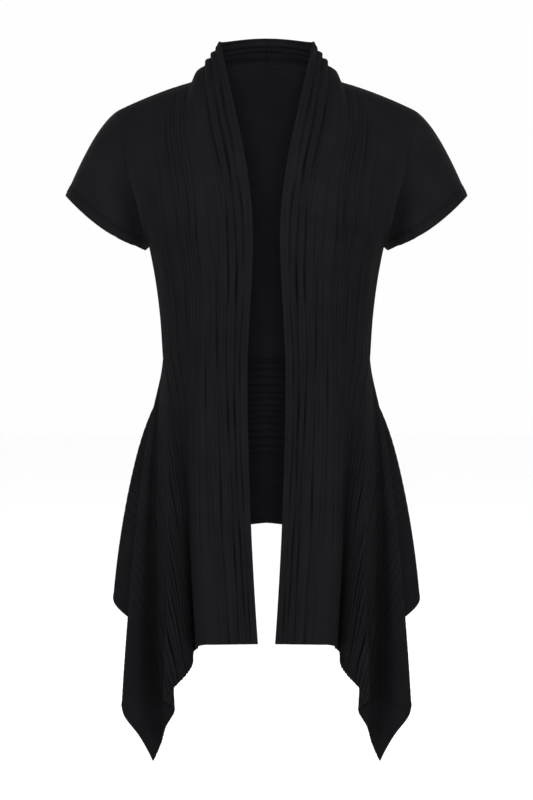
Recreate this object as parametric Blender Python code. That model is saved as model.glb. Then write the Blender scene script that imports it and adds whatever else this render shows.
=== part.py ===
"""Open-front cardigan with cap sleeves, a soft standing collar and a handkerchief hem.

It keeps the hollow shape that it has when it is worn. Metres, +Z up, the front faces -Y and the wearer's
left is +X. The origin lies midway between the neck ends of the two shoulder seams, where it is held up.
Each cut piece of cloth is one closed wall, and neighbours stay a hair apart along their seams.
"""
import bpy
import numpy as np

MM = 0.001
CLOTH_THICKNESS = 1.6 * MM
SEAM_GAP = 0.46 * MM
SIDE_SEAM_GAP = 0.9 * MM                 # more at the armhole and the side, where the cloth turns a corner

# Shoulder, neck and collar (millimetres, for the wearer's left; the right side is their mirror image).
SHOULDER_POINT = (195.0, 4.0, -38.0)     # outer end of the shoulder seam
SHOULDER_ROUND = 2.5                     # rise of the seam above a straight line, midway
NECK_POINT = (98.0, 6.0, 0.0)            # inner end of the shoulder seam
BACK_NECK = (0.0, 68.0, 24.0)            # centre of the back neck seam
COLLAR_SIDE = (61.0, 8.0, 54.0)          # free edge of the collar above the shoulder
COLLAR_BACK = (0.0, 60.0, 64.0)          # free edge of the collar at the centre back
COLLAR_WIDTH = 62.0                      # across the ribs, from the free edge to the neck point
FRONT_WIDTH = 165.0                      # across the ribs, from the front edge to the side

# Waist and skirt.
WAIST_HEIGHT = -362.0
WAIST_HALF_WIDTH = 135.0
WAIST_FRONT_DEPTH = 98.0
WAIST_BACK_DEPTH = 84.0
WAIST_EDGE_X = 24.0                      # half of the open gap between the front edges
FRONT_SKIRT_LENGTH = 366.0               # waist to hem along the front edge
BACK_SKIRT_LENGTH = 214.7                # waist to hem at the centre back
STRAIGHT_WIDTH = 60.0                    # part of the front that hangs straight, next to its edge
FRONT_FLARE_RADIUS = 165.0               # waist curve of the flat cut, front and back
BACK_FLARE_RADIUS = 188.5
SIDE_FLARE = np.radians(36.3)            # turn of the cut at the side seam, where the point hangs
BIAS_STRETCH = 0.04                      # the rib grows this much where it hangs on the bias
TIP_SAG = 12.0                           # the point at the side hangs lower by its own weight
TIP_REACH = 0.22
MIDDLE_SAG = 5.0                         # and so does the centre back, a little
MIDDLE_REACH = 0.3
EARLY_FLARE = 46.0                       # the folds open quicker over the first part of their drop
EARLY_REACH = 70.0

# Sections of the front, shoulder to waist. down: distance along the front edge. edge: the front edge.
# arm: the armhole seam, then the side seam. turn: how far round the section bends (degrees).
# neck: how much of the shoulder line's shape it keeps. dip: drop of the neck end below a straight line.
FRONT_SECTIONS = {
    "down":   (0, 31, 62, 97, 134, 175, 218, 258, 298, 343, 398, 455),
    "edge_x": (61, 57, 52, 46, 39, 31, 24, 19, 17, 18, 21, 24),
    "edge_y": (8, -18, -40, -60, -78, -93, -104, -108, -108, -105, -101, -98),
    "edge_z": (54, 36, 12, -16, -48, -85, -126, -165, -205, -250, -305, -362),
    "arm_x":  (195, 194.5, 192, 189, 184, 177, 167, 159.5, 153.5, 145.5, 139, 135),
    "arm_y":  (4, -14, -32, -44, -53, -57, -54, -38, 0, 0, 0, 0),
    "arm_z":  (-38, -45, -59, -78, -106, -135, -165, -193, -214, -255, -305, -362),
    "turn":   (25, 32, 44, 54, 62, 68, 75, 82, 90, 90, 90, 90),
    "neck":   (1, 0.7, 0.35, 0.12, 0, 0, 0, 0, 0, 0, 0, 0),
    "dip":    (-28.6, -20, -12, -5, -1, 0, 0, 0, 0, 0, 0, 0),
}
FRONT_UNDERARM = 298

# Sections of the back, neck and shoulder seams to waist seam. mid: the centre back.
BACK_SECTIONS = {
    "down":   (0, 30, 62, 105, 150, 195, 225, 245, 290, 345, 402),
    "mid_y":  (68, 80, 91, 99, 102, 99, 95, 91, 85, 80, 84),
    "mid_z":  (24, -3, -33, -75, -120, -165, -194, -214, -255, -305, -362),
    "arm_x":  (195, 194.5, 191, 185, 175, 165, 158, 153.5, 145.5, 139, 135),
    "arm_y":  (4, 24, 42, 56, 60, 49, 30, 0, 0, 0, 0),
    "arm_z":  (-38, -46.5, -63.5, -97, -133, -165, -195, -214, -255, -305, -362),
    "turn":   (30, 40, 52, 63, 72, 80, 86, 90, 90, 90, 90),
    "neck":   (1, 0.45, 0.12, 0, 0, 0, 0, 0, 0, 0, 0),
}
BACK_UNDERARM = 245

# Folds that run along the collar and fade out below the bust: height of the cloth above its plain form.
COLLAR_FOLDS = {
    "across": (0, 6.5, 13, 18.5, 24, 29, 34, 47, 62, 75),
    "height": (0, 0.3, -2.0, 1.0, -1.8, 1.6, -1.2, 3.6, 0, 0),
}
FOLD_FADE = {
    "down":   (0, 62, 134, 218, 300),
    "depth":  (0.7, 1, 0.6, 0.2, 0),
}
BUST_FULLNESS = 7.0
BUST_PLACE = (0.5, 232.0)                # fraction of the width, distance down
BUST_REACH = (0.30, 62.0)

# Hanging folds of half the skirt. around: 0 front edge, 1 side seam, 2 centre back. The upper and lower
# places are where each ridge or valley lies 135 mm and 420 mm below the waist.
SKIRT_FOLDS = {
    "around":  (0, 0.27, 0.345, 0.39, 0.42, 0.44, 0.52, 0.56, 0.66, 0.70, 0.75, 0.79, 0.84, 0.91, 0.97, 1.0,
                1.04, 1.08, 1.21, 1.335, 1.52, 1.70, 1.86, 2.0),
    "upper_x": (22.5, 66, 82, 90, 94.5, 97, 102, 105, 111, 115, 120, 125, 129, 137, 144, 147, 152, 158, 152, 173.5,
                122, 80, 38, 0),
    "upper_y": (-99, -104, -104, -100, -96, -91, -79, -77, -79, -80, -78, -74, -60, -41, -20, -20, -26, -26, 22,
                50, 68, 100, 90, 98),
    "lower_x": (6.5, 51, 69, 79, 84, 85.5, 89, 93, 96.5, 105, 118, 131, 121, 134, 144, 151, 164, 183, 140, 206,
                140, 90, 40, 0),
    "lower_y": (-112, -117, -119, -116, -110, -100, -38, -34, -70, -87, -95, -97, -60, -43, -21, -29, -51, -60, 4,
                54, 66, 132, 98, 112),
}
UPPER_DROP = 135.0
LOWER_DROP = 420.0

# Cuff of the sleeve: a tilted oval ring.
CUFF_CENTRE = (211.0, 0.0, -185.0)
CUFF_TO_TOP = (51.0, 0.0, 35.0)
CUFF_HALF_DEPTH = 52.0
CUFF_FRONT_BOW = 11.0                    # the hem hangs lower at the front than at the top and underarm
CUFF_BACK_BOW = 3.0
SLEEVE_HEAD_LIFT = (-4.0, 0.0, 36.5)     # rounds the sleeve over the shoulder
SLEEVE_SIDE_SWELL = 8.0

# Where the meshes have their lines. Pieces that share a seam share its lines too.
ACROSS_FRONT = (0, 6.5, 13, 18.5, 24, 29, 34, 47, 62, 69.3, 72.6, 85.8, 92.4, 108.9, 115.5, 123.8, 130.4,
                138.6, 150.2, 160, 165)
FRONT_ARMHOLE_LINES = (0, 16, 31, 46, 62, 80, 97, 134, 175, 218, 240, 258, 278, 298)
BACK_ARMHOLE_LINES = (0, 15, 30, 46, 62, 84, 105, 128, 150, 172, 195, 210, 225, 235, 245)
UNDERARM_TO_WAIST_LINES = (28, 60, 95, 128, 157)
SKIRT_LINES = (0.08, 0.18, 0.3, 0.45, 0.6, 0.75, 0.88, 1.0)
AROUND_BACK = (1, 1.04, 1.08, 1.145, 1.21, 1.27, 1.335, 1.435, 1.52, 1.61, 1.70, 1.78, 1.86, 1.93, 2)
NECK_AROUND = 0.565                      # neck point on the back's top edge, from the centre back
SLEEVE_LINES = (0, 0.2, 0.4, 0.6, 0.8, 1.0)

SHOULDER_SEAM_NORMAL = np.array((0.365, 0.0, 0.931))

BLACK_RIB = (0.0115, 0.0115, 0.0135, 1.0)
BLACK_JERSEY = (0.0135, 0.0135, 0.0155, 1.0)
KNIT_ROUGHNESS = 0.9


def through(knots, values, at):
    """Smooth curve through the values at the knots, read at the given places (cubic pieces)."""
    knots = np.asarray(knots, float)
    values = np.asarray(values, float)
    at = np.asarray(at, float)
    steps = np.diff(knots)
    slopes = np.diff(values) / steps
    inner = (slopes[:-1] * steps[1:] + slopes[1:] * steps[:-1]) / (steps[1:] + steps[:-1])
    tangents = np.concatenate(([slopes[0]], inner, [slopes[-1]]))
    piece = np.clip(np.searchsorted(knots, at, side="right") - 1, 0, len(steps) - 1)
    t = (at - knots[piece]) / steps[piece]
    start = (1 + 2 * t) * (1 - t) ** 2 * values[piece] + t * (1 - t) ** 2 * steps[piece] * tangents[piece]
    end = t * t * (3 - 2 * t) * values[piece + 1] + t * t * (t - 1) * steps[piece] * tangents[piece + 1]
    return start + end


def section(table, down):
    """Every column of a section table at the given distances down, as a dictionary of columns."""
    return {name: through(table["down"], table[name], down)[:, None] for name in table if name != "down"}


def normals_of(grid):
    """Outward unit normals of a grid whose rows run down and whose columns run round from the front."""
    down = np.gradient(grid, axis=0)
    round_ = np.gradient(grid, axis=1)
    normal = np.cross(down, round_)
    return normal / np.linalg.norm(normal, axis=2, keepdims=True)


def tube_normals_of(grid):
    """The same for a tube, whose last column meets its first."""
    wrapped = np.concatenate((grid[:, -1:], grid, grid[:, :1]), axis=1)
    return normals_of(wrapped)[:, 1:-1]


def bodice_front(across, down):
    """Front from shoulder to waist, one row for each distance down and one column for each across."""
    s = section(FRONT_SECTIONS, down)
    p = np.asarray(across, float)[None, :] / FRONT_WIDTH
    neck_p = COLLAR_WIDTH / FRONT_WIDTH
    turn = np.radians(s["turn"])
    bend = p * turn
    neck_share = (NECK_POINT[0] - COLLAR_SIDE[0]) / (SHOULDER_POINT[0] - COLLAR_SIDE[0])
    inside = p < neck_p
    beyond = (p - neck_p) / (1 - neck_p)
    shoulder_x = np.where(inside, neck_share * p / neck_p, neck_share + (1 - neck_share) * beyond)
    shoulder_y = np.where(inside, 0.5 * p / neck_p, 0.5 + 0.5 * beyond)
    out = s["neck"] * shoulder_x + (1 - s["neck"]) * np.sin(bend) / np.sin(turn)
    round_y = 1 - (np.cos(bend) - np.cos(turn)) / (1 - np.cos(turn))
    back = s["neck"] * shoulder_y + (1 - s["neck"]) * round_y
    tent = np.where(inside, p / neck_p, 1 - beyond)
    x = s["edge_x"] + (s["arm_x"] - s["edge_x"]) * out
    y = s["edge_y"] + (s["arm_y"] - s["edge_y"]) * back
    z = s["edge_z"] + (s["arm_z"] - s["edge_z"]) * out + s["dip"] * tent
    z = z + s["neck"] * SHOULDER_ROUND * (1 - (2 * np.clip(beyond, 0, 1) - 1) ** 2)
    grid = np.stack((x, y, z), axis=2)
    fold = through(COLLAR_FOLDS["across"], COLLAR_FOLDS["height"], np.minimum(across, COLLAR_FOLDS["across"][-1]))
    fade = through(FOLD_FADE["down"], FOLD_FADE["depth"], np.minimum(down, FOLD_FADE["down"][-1]))
    from_bust = ((p - BUST_PLACE[0]) / BUST_REACH[0]) ** 2
    from_bust = from_bust + ((np.asarray(down, float)[:, None] - BUST_PLACE[1]) / BUST_REACH[1]) ** 2
    raised = fade[:, None] * fold[None, :] + BUST_FULLNESS * np.exp(-from_bust)
    at_side = np.clip((1 - p) / 0.12, 0, 1)
    return grid + normals_of(grid) * (raised * at_side)[:, :, None]


def back_half(around, down):
    """Half of the back from its side seam (around = 1) to the centre back (around = 2)."""
    s = section(BACK_SECTIONS, down)
    r = 2 - np.asarray(around, float)[None, :]
    turn = np.radians(s["turn"])
    bend = r * turn
    inside = r < NECK_AROUND
    angle = np.pi / 2 * np.minimum(r / NECK_AROUND, 1)
    beyond = (r - NECK_AROUND) / (1 - NECK_AROUND)
    neck_x = NECK_POINT[0] / SHOULDER_POINT[0]
    seam_y = NECK_POINT[1] - SHOULDER_POINT[1]
    seam_z = NECK_POINT[2] - SHOULDER_POINT[2]
    shoulder_x = np.where(inside, neck_x * np.sin(angle), neck_x + (1 - neck_x) * beyond)
    near_y = s["arm_y"] + seam_y
    near_z = s["arm_z"] + seam_z
    scoop_y = near_y + (s["mid_y"] - near_y) * np.cos(angle)
    scoop_z = near_z + (s["mid_z"] - near_z) * np.cos(angle) ** 2
    shoulder_y = np.where(inside, scoop_y, s["arm_y"] + seam_y * (1 - beyond))
    shoulder_z = np.where(inside, scoop_z, s["arm_z"] + seam_z * (1 - beyond))
    shoulder_z = shoulder_z + SHOULDER_ROUND * (1 - (2 * np.clip(beyond, 0, 1) - 1) ** 2)
    round_x = np.sin(bend) / np.sin(turn)
    round_y = s["arm_y"] + (s["mid_y"] - s["arm_y"]) * (np.cos(bend) - np.cos(turn)) / (1 - np.cos(turn))
    round_z = s["mid_z"] + (s["arm_z"] - s["mid_z"]) * round_x
    x = s["arm_x"] * (s["neck"] * shoulder_x + (1 - s["neck"]) * round_x)
    y = s["neck"] * shoulder_y + (1 - s["neck"]) * round_y
    z = s["neck"] * shoulder_z + (1 - s["neck"]) * round_z
    return np.stack((x, y, z), axis=2)


def waist_line(around):
    """Waist of half the garment, from the front edge (0) by the side (1) to the centre back (2)."""
    around = np.asarray(around, float)
    front_angle = np.pi / 2 * np.minimum(around, 1)
    back_angle = np.pi / 2 * np.maximum(around - 1, 0)
    front_x = WAIST_EDGE_X + (WAIST_HALF_WIDTH - WAIST_EDGE_X) * np.sin(front_angle)
    in_front = around <= 1
    x = np.where(in_front, front_x, WAIST_HALF_WIDTH * np.cos(back_angle))
    y = np.where(in_front, -WAIST_FRONT_DEPTH * np.cos(front_angle), WAIST_BACK_DEPTH * np.sin(back_angle))
    return x, y


def flare_turn(around):
    """Turn of the flat cut's fall line, from the front edge to each place round the waist."""
    flared = (around * FRONT_WIDTH - STRAIGHT_WIDTH) / (FRONT_WIDTH - STRAIGHT_WIDTH)
    return np.clip(flared, 0, 1) * SIDE_FLARE + (np.pi / 2 - SIDE_FLARE) * np.maximum(around - 1, 0)


def hem_drop(around):
    """How far the hem hangs below the waist, from the straight hems of the flat cut."""
    turn = flare_turn(around)
    front_drop = (FRONT_SKIRT_LENGTH + FRONT_FLARE_RADIUS) / np.cos(np.minimum(turn, SIDE_FLARE)) - FRONT_FLARE_RADIUS
    back_drop = (BACK_SKIRT_LENGTH + BACK_FLARE_RADIUS) / np.sin(np.maximum(turn, SIDE_FLARE)) - BACK_FLARE_RADIUS
    sag = TIP_SAG * np.exp(-((around - 1) / TIP_REACH) ** 2)
    sag = sag + MIDDLE_SAG * np.exp(-((around - 2) / MIDDLE_REACH) ** 2)
    return np.where(around <= 1, front_drop, back_drop) * (1 + BIAS_STRETCH * np.sin(2 * turn)) + sag


def half_skirt(around, lines):
    """Skirt from the waist to the hem: each fold grows from nothing at the waist."""
    around = np.asarray(around, float)
    drop = np.asarray(lines, float)[:, None] * hem_drop(around)[None, :]
    opened, upper, lower = (level + EARLY_FLARE * (1 - np.exp(-(level / EARLY_REACH) ** 2))
                            for level in (drop, UPPER_DROP, LOWER_DROP))
    shape = []
    for waist, axis in zip(waist_line(around), "xy"):
        near = (through(SKIRT_FOLDS["around"], SKIRT_FOLDS["upper_" + axis], around) - waist) / upper
        far = (through(SKIRT_FOLDS["around"], SKIRT_FOLDS["lower_" + axis], around) - waist) / lower
        curve = (far - near) / (lower - upper)
        shape.append(waist + (near - curve * upper) * opened + curve * opened ** 2)
    return np.stack((shape[0], shape[1], WAIST_HEIGHT - drop), axis=2)


def half_collar(across, around_neck):
    """Half collar: rows from the centre back (0) to the shoulder (1), columns from its free edge down."""
    angle = np.pi / 2 * np.asarray(around_neck, float)[:, None]
    t = np.asarray(across, float)[None, :] / COLLAR_WIDTH
    free = np.stack((COLLAR_SIDE[0] * np.sin(angle),
                     COLLAR_SIDE[1] + (COLLAR_BACK[1] - COLLAR_SIDE[1]) * np.cos(angle),
                     COLLAR_SIDE[2] + (COLLAR_BACK[2] - COLLAR_SIDE[2]) * np.cos(angle) ** 2), axis=2)
    seam = np.stack((NECK_POINT[0] * np.sin(angle),
                     NECK_POINT[1] + (BACK_NECK[1] - NECK_POINT[1]) * np.cos(angle),
                     NECK_POINT[2] + (BACK_NECK[2] - NECK_POINT[2]) * np.cos(angle) ** 2), axis=2)
    grid = free + (seam - free) * t[:, :, None]
    fold = through(COLLAR_FOLDS["across"], COLLAR_FOLDS["height"], across)
    fold = fold * (1 + (FOLD_FADE["depth"][0] - 1) * np.asarray(around_neck, float)[:, None] ** 2)
    folded = grid + normals_of(grid) * fold[:, :, None]
    folded[0, :, 0] = 0.0
    return folded


def sleeve_tube(armhole):
    """Sleeve from the armhole ring to the cuff. The ring runs over the back, underarm, front and up."""
    around_ring = np.concatenate((armhole, armhole[:1]), axis=0)
    steps = np.linalg.norm(np.diff(around_ring, axis=0), axis=1)
    travelled = np.concatenate(([0], np.cumsum(steps)))
    lowest = int(np.argmin(armhole[:, 2]))
    to_lowest = travelled[:lowest + 1] / travelled[lowest]
    to_top = (travelled[lowest:-1] - travelled[lowest]) / (travelled[-1] - travelled[lowest])
    angle = np.pi * np.concatenate((to_lowest, 1 + to_top[1:]))
    toward_front = -np.sin(angle)
    bow = np.where(toward_front > 0, CUFF_FRONT_BOW, CUFF_BACK_BOW) * toward_front ** 2
    cuff = np.array(CUFF_CENTRE) + np.cos(angle)[:, None] * np.array(CUFF_TO_TOP)
    cuff[:, 1] -= CUFF_HALF_DEPTH * toward_front
    cuff[:, 2] -= bow
    head = np.maximum(np.cos(angle), 0) ** 2
    middle = (armhole + cuff) / 2 + head[:, None] * np.array(SLEEVE_HEAD_LIFT)
    middle[:, 1] -= SLEEVE_SIDE_SWELL * toward_front
    rows = []
    for t in SLEEVE_LINES:
        rows.append((1 - t) ** 2 * armhole + 2 * t * (1 - t) * middle + t ** 2 * cuff)
    return np.stack(rows)


def join_seam(*edges):
    """Lay edges of cloth on each other: all take their mean place and their mean normal."""
    place = sum(grid[edge] for grid, normal, edge in edges) / len(edges)
    mean = sum(normal[edge] for grid, normal, edge in edges)
    mean = mean / np.linalg.norm(mean, axis=-1, keepdims=True)
    for grid, normal, edge in edges:
        grid[edge] = place
        normal[edge] = mean


def face_straight_back(normal, edge):
    """Turn the normals of a centre back edge into the middle plane, so that both halves meet there."""
    normal[edge] *= np.array((0.0, 1.0, 1.0))
    normal[edge] /= np.linalg.norm(normal[edge], axis=-1, keepdims=True)


def pull_back(grid, *edges, gap=SEAM_GAP):
    """Draw the named edges in by half of the gap, so that neighbours never touch."""
    moved = grid.copy()
    lines = {"top": (0, 1), "bottom": (-1, -2)}
    for edge in edges:
        if edge in lines:
            rim, beside = lines[edge]
        else:
            rim, beside = {"start": ((slice(None), 0), (slice(None), 1)),
                           "end": ((slice(None), -1), (slice(None), -2))}[edge]
        inward = grid[beside] - grid[rim]
        along = np.gradient(grid[rim], axis=0)
        along /= np.linalg.norm(along, axis=1, keepdims=True)
        inward -= along * np.sum(inward * along, axis=1, keepdims=True)
        moved[rim] += inward / np.linalg.norm(inward, axis=1, keepdims=True) * gap / MM / 2
    return moved


def mirrored(grid):
    """The same points or normals on the wearer's right, still running the same way round."""
    return grid[:, ::-1] * np.array((-1.0, 1.0, 1.0))


def both_halves(grid):
    """A half that ends at the centre back, carried on over the wearer's right."""
    return np.concatenate((grid, mirrored(grid)[:, 1:]), axis=1)


def rim_faces(points, a, b, c, d):
    """Two triangles on a stretch of the cloth's cut edge, split on its shorter diagonal.

    Both sides of a seam are then split alike, and their faces stay parallel."""
    if np.linalg.norm(points[a] - points[c]) < np.linalg.norm(points[b] - points[d]):
        return [(a, b, c), (a, c, d)]
    return [(a, b, d), (b, c, d)]


def cloth_wall(name, grid, normal, colour, tube=False):
    """Closed wall of cloth in its own material, half of its thickness on each side of the grid."""
    rows, columns = grid.shape[:2]
    half = normal * (CLOTH_THICKNESS / 2)
    outer = (grid * MM + half).reshape(-1, 3)
    inner = (grid * MM - half).reshape(-1, 3)
    face_of = np.arange(rows * columns).reshape(rows, columns)
    if tube:
        face_of = np.concatenate((face_of, face_of[:, :1]), axis=1)
    lining_of = face_of + rows * columns
    points = np.concatenate((outer, inner))
    faces = []
    for i in range(rows - 1):
        for j in range(face_of.shape[1] - 1):
            faces.append((face_of[i, j], face_of[i + 1, j], face_of[i + 1, j + 1], face_of[i, j + 1]))
            faces.append((lining_of[i, j], lining_of[i, j + 1], lining_of[i + 1, j + 1], lining_of[i + 1, j]))
    for j in range(face_of.shape[1] - 1):
        faces += rim_faces(points, face_of[0, j], face_of[0, j + 1], lining_of[0, j + 1], lining_of[0, j])
        faces += rim_faces(points, face_of[-1, j], lining_of[-1, j], lining_of[-1, j + 1], face_of[-1, j + 1])
    if not tube:
        for i in range(rows - 1):
            faces += rim_faces(points, face_of[i, 0], lining_of[i, 0], lining_of[i + 1, 0], face_of[i + 1, 0])
            faces += rim_faces(points, face_of[i, -1], face_of[i + 1, -1], lining_of[i + 1, -1], lining_of[i, -1])
    mesh = bpy.data.meshes.new(name)
    mesh.from_pydata(points.tolist(), [], [[int(corner) for corner in face] for face in faces])
    mesh.shade_smooth()
    mesh.materials.append(knit_material(name, colour))
    piece = bpy.data.objects.new(name, mesh)
    bpy.context.scene.collection.objects.link(piece)


def knit_material(name, colour):
    """Matt knitted cloth."""
    material = bpy.data.materials.new(name)
    material.use_nodes = True
    shader = material.node_tree.nodes["Principled BSDF"]
    shader.inputs["Base Color"].default_value = colour
    shader.inputs["Roughness"].default_value = KNIT_ROUGHNESS
    shader.inputs["Metallic"].default_value = 0.0
    return material


def make_cardigan():
    """Work out the wearer's left half, join its seams, and make every piece on both sides."""
    to_waist = np.array(UNDERARM_TO_WAIST_LINES)
    bodice = bodice_front(ACROSS_FRONT, np.concatenate((FRONT_ARMHOLE_LINES, FRONT_UNDERARM + to_waist)))
    front_skirt = half_skirt(np.array(ACROSS_FRONT) / FRONT_WIDTH, SKIRT_LINES)
    front = np.concatenate((bodice, front_skirt))
    back = back_half(AROUND_BACK, np.concatenate((BACK_ARMHOLE_LINES, BACK_UNDERARM + to_waist)))
    skirt = half_skirt(AROUND_BACK, (0,) + SKIRT_LINES)
    neck_columns = [around for around in AROUND_BACK if 2 - around <= NECK_AROUND]
    collar_columns = [across for across in ACROSS_FRONT if across <= COLLAR_WIDTH]
    collar = half_collar(collar_columns, [(2 - around) / NECK_AROUND for around in reversed(neck_columns)])
    arm_back = len(BACK_ARMHOLE_LINES)
    arm_front = len(FRONT_ARMHOLE_LINES)
    sleeve = sleeve_tube(np.concatenate((back[:arm_back, 0], front[arm_front - 2:0:-1, -1])))

    front_normal = normals_of(front)
    back_normal = normals_of(back)
    skirt_normal = normals_of(skirt)
    collar_normal = normals_of(collar)
    sleeve_normal = tube_normals_of(sleeve)
    face_straight_back(back_normal, (slice(None), -1))
    face_straight_back(skirt_normal, (slice(None), -1))
    face_straight_back(collar_normal, 0)

    all_rows = slice(None)
    waist = len(bodice) - 1
    neck_front = len(collar_columns) - 1
    neck_back = len(AROUND_BACK) - len(neck_columns)
    join_seam((front, front_normal, (slice(arm_front - 1, waist + 1), -1)),
              (back, back_normal, (slice(arm_back - 1, None), 0)))
    join_seam((front, front_normal, (slice(waist, None), -1)), (skirt, skirt_normal, (all_rows, 0)))
    join_seam((back, back_normal, -1), (skirt, skirt_normal, 0))
    join_seam((front, front_normal, (0, slice(0, neck_front + 1))), (collar, collar_normal, -1))
    join_seam((back, back_normal, (0, slice(-1, neck_back - 1, -1))), (collar, collar_normal, (all_rows, -1)))
    join_seam((back, back_normal, (slice(0, arm_back), 0)), (sleeve, sleeve_normal, (0, slice(0, arm_back))))
    join_seam((front, front_normal, (slice(arm_front - 2, 0, -1), -1)),
              (sleeve, sleeve_normal, (0, slice(arm_back, None))))
    for normal, seam in ((front_normal, (0, slice(neck_front, None))), (back_normal, (0, slice(0, neck_back + 1)))):
        normal[seam] = SHOULDER_SEAM_NORMAL
    join_seam((front, front_normal, (0, neck_front)), (back, back_normal, (0, neck_back)),
              (collar, collar_normal, (-1, -1)))
    join_seam((front, front_normal, (0, -1)), (back, back_normal, (0, 0)), (sleeve, sleeve_normal, (0, 0)))
    join_seam((front, front_normal, (arm_front - 1, -1)), (back, back_normal, (arm_back - 1, 0)),
              (sleeve, sleeve_normal, (0, arm_back - 1)))
    join_seam((front, front_normal, (waist, -1)), (back, back_normal, (-1, 0)), (skirt, skirt_normal, (0, 0)))

    front = pull_back(pull_back(front, "top"), "end", gap=SIDE_SEAM_GAP)
    collar = pull_back(collar, "top", "bottom", "end")
    sleeve = pull_back(sleeve, "top", gap=SIDE_SEAM_GAP)
    back = both_halves(pull_back(pull_back(back, "top", "bottom"), "start", gap=SIDE_SEAM_GAP))
    skirt = both_halves(pull_back(pull_back(skirt, "top"), "start", gap=SIDE_SEAM_GAP))
    cloth_wall("back_upper", back, both_halves(back_normal), BLACK_JERSEY)
    cloth_wall("back_skirt", skirt, both_halves(skirt_normal), BLACK_RIB)
    cloth_wall("front_left", front, front_normal, BLACK_RIB)
    cloth_wall("front_right", mirrored(front), mirrored(front_normal), BLACK_RIB)
    cloth_wall("collar_left", collar, collar_normal, BLACK_RIB)
    cloth_wall("collar_right", mirrored(collar), mirrored(collar_normal), BLACK_RIB)
    cloth_wall("sleeve_left", sleeve, sleeve_normal, BLACK_JERSEY, tube=True)
    cloth_wall("sleeve_right", mirrored(sleeve), mirrored(sleeve_normal), BLACK_JERSEY, tube=True)


for scene_object in list(bpy.data.objects):
    bpy.data.objects.remove(scene_object)
make_cardigan()
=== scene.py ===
import bpy
import numpy as np
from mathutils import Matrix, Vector


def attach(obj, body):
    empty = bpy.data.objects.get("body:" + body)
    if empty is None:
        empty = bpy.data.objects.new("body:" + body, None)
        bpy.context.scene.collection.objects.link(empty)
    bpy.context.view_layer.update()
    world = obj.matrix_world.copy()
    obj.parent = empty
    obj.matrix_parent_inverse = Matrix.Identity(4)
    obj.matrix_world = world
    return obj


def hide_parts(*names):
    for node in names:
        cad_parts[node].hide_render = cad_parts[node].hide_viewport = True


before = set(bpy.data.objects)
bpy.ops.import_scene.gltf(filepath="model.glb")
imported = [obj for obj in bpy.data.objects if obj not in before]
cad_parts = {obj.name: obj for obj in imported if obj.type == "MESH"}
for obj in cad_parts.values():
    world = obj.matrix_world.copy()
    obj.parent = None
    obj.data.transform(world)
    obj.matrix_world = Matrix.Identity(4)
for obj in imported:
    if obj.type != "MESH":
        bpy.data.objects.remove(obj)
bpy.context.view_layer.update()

# ---- The setting: a pale floor, an even white surround and soft studio light, and the camera at the photo's
# angle. The camera is level with the middle of the cardigan and looks straight at its open front.
MM = 0.001
FRAME_HEIGHT = 1.048
CAMERA_DISTANCE = 4.0
CAMERA_HEIGHT = -0.4166
FLOOR_HEIGHT = -0.91
FLOOR_RADIUS = 40.0
FLOOR_CORNERS = 96
SOFTBOXES = (
    # name, place, size, watts, height it is aimed at
    ("softbox_front", (0.0, -5.0, 0.0), 1.4, 580.0, -0.42),
    ("softbox_left", (-3.2, -1.6, 0.8), 1.6, 50.0, -0.4),
    ("softbox_right", (3.2, -1.6, 0.8), 1.6, 50.0, -0.4),
    ("softbox_top", (0.0, -1.2, 2.2), 1.6, 30.0, -0.1),
)

surround = bpy.data.worlds.new("white_surround")
surround.use_nodes = True
surround.node_tree.nodes["Background"].inputs["Color"].default_value = (0.991, 0.991, 0.991, 1.0)
surround.node_tree.nodes["Background"].inputs["Strength"].default_value = 1.0
bpy.context.scene.world = surround
bpy.context.scene.view_settings.view_transform = "Standard"

for name, place, size, watts, aim_height in SOFTBOXES:
    lamp = bpy.data.lights.new(name, "AREA")
    lamp.size = size
    lamp.energy = watts
    softbox = bpy.data.objects.new(name, lamp)
    softbox.location = place
    softbox.visible_camera = False
    aim = Vector((0.0, 0.0, aim_height)) - Vector(place)
    softbox.rotation_euler = aim.to_track_quat("-Z", "Y").to_euler()
    bpy.context.scene.collection.objects.link(softbox)

floor_angle = np.linspace(0, 2 * np.pi, FLOOR_CORNERS, endpoint=False)
floor_ring = np.stack((FLOOR_RADIUS * np.cos(floor_angle), FLOOR_RADIUS * np.sin(floor_angle),
                       np.full(FLOOR_CORNERS, FLOOR_HEIGHT)), axis=1)
floor_mesh = bpy.data.meshes.new("floor")
floor_mesh.from_pydata(floor_ring.tolist(), [], [list(range(FLOOR_CORNERS))])
floor = bpy.data.objects.new("floor", floor_mesh)
bpy.context.scene.collection.objects.link(floor)
pale = bpy.data.materials.new("pale_floor")
pale.use_nodes = True
pale.node_tree.nodes["Principled BSDF"].inputs["Base Color"].default_value = (0.985, 0.985, 0.985, 1.0)
pale.node_tree.nodes["Principled BSDF"].inputs["Roughness"].default_value = 0.9
floor_mesh.materials.append(pale)

camera_data = bpy.data.cameras.new("camera")
camera_data.sensor_width = 36.0
camera_data.lens = camera_data.sensor_width * CAMERA_DISTANCE / FRAME_HEIGHT
camera_data.clip_end = 200.0
camera = bpy.data.objects.new("camera", camera_data)
camera.location = (0.0, -CAMERA_DISTANCE, CAMERA_HEIGHT)
camera.rotation_euler = (np.pi / 2, 0.0, 0.0)
bpy.context.scene.collection.objects.link(camera)
bpy.context.scene.camera = camera


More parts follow.
